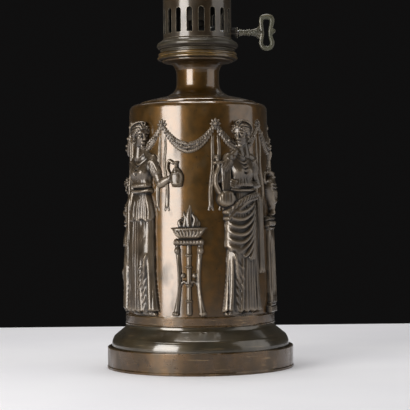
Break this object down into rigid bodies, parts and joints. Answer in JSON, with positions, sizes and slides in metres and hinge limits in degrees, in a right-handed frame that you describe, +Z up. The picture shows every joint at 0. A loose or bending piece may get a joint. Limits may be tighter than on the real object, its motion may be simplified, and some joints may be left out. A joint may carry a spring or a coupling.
{
  "type": "table oil lamp",
  "caption": "Patinated bronze table oil lamp with a classical frieze, slotted gallery, winding key, spring-driven piston, round wick burner and glass chimney.",
  "frame": {"origin": "on the lamp's axis at the table, under the centre of the base ring", "axes": "+Z up along the lamp's axis, +X along the winding key, -Y towards the pictured front"},
  "size_m": [0.1488, 0.1488, 0.5004],
  "materials": {
    "body_bronze": "polished warm brown patina with fine turning lines",
    "relief_bronze": "dark grey-brown patina, rubbed bright on its high edges",
    "foot_bronze": "dark olive-grey patina",
    "base_bronze": "worn brown patina with scratches",
    "collar_brass": "golden brown patina",
    "ring_brass": "grey-green tarnish",
    "gallery_brass": "dark brown tarnish, rubbed bright at the slots",
    "key_brass": "greenish grey tarnish",
    "works_brass": "dull yellow",
    "steel": "blued, oiled",
    "tinplate": "dull tin",
    "leather": "oiled",
    "cotton": "woven, charred at its top edge",
    "glass": "clear"
  },
  "bodies": {
    "lamp": {"base_ring": "base_bronze", "foot_moulding": "foot_bronze", "foot_band": "base_bronze", "bottom_plate": "works_brass", "plate_screws": "steel", "body_floor": "tinplate", "floor_screws": "steel", "body_shell": "body_bronze", "top_cap": "body_bronze", "neck": "body_bronze", "neck_nut": "works_brass", "lower_collar": "collar_brass", "burner_ring": "ring_brass", "deck_plate": "works_brass", "gallery": "gallery_brass", "key_bush": "gallery_brass", "wick_bush": "works_brass", "arbor_bracket": "works_brass", "rack_guide": "works_brass", "reservoir": "tinplate", "reservoir_lid": "tinplate", "piston_spring": "steel", "riser_tube": "works_brass", "moderator_needle": "steel", "burner_tubes": "works_brass", "burner_posts": "works_brass", "wick_rack_box": "works_brass", "relief_jug_bearer": "relief_bronze", "relief_altar": "relief_bronze", "relief_lyre_player": "relief_bronze", "relief_urn_stand": "relief_bronze", "relief_torch_bearer": "relief_bronze", "relief_wreath_bearer": "relief_bronze", "relief_basket_bearer": "relief_bronze", "relief_attendant": "relief_bronze", "relief_festoons": "relief_bronze"},
    "piston": {"piston_disc": "tinplate", "piston_leather": "leather", "piston_nut": "works_brass", "sliding_tube": "works_brass", "winding_rack": "steel"},
    "key": {"key_arbor": "steel", "winding_key": "key_brass", "key_pin": "key_brass"},
    "wick": {"wick_carrier": "works_brass", "wick": "cotton"},
    "knob": {"wick_shaft": "steel", "wick_knob": "ring_brass"},
    "chimney_holder": {"chimney_holder": "works_brass"},
    "chimney": {"chimney": "glass"}
  },
  "joints": [
    {"name": "piston_slide", "type": "slide", "parent": "lamp", "child": "piston", "axis": [0, 0, 1], "range_m": [0, 0.0377], "deforming": ["piston_spring"]},
    {"name": "key_turn", "type": "hinge", "parent": "lamp", "child": "key", "pos_m": [0.03, 0, 0.2661], "axis": [1, 0, 0], "range_deg": [0, 450]},
    {"name": "wick_raise", "type": "slide", "parent": "lamp", "child": "wick", "axis": [0, 0, 1], "range_m": [0, 0.00754]},
    {"name": "knob_turn", "type": "hinge", "parent": "lamp", "child": "knob", "pos_m": [0.006, 0.03, 0.2829], "axis": [0, 1, 0], "range_deg": [0, 144]},
    {"name": "holder_slide", "type": "slide", "parent": "lamp", "child": "chimney_holder", "axis": [0, 0, 1], "range_m": [0, 0.006]},
    {"name": "chimney_lift", "type": "slide", "parent": "chimney_holder", "child": "chimney", "axis": [0, 0, 1], "range_m": [0, 0.06]}
  ],
  "couplings": [
    {"joint": "key_turn", "follows": "piston_slide", "rad_per_m": 208.33},
    {"joint": "knob_turn", "follows": "wick_raise", "rad_per_m": 333.33}
  ]
}
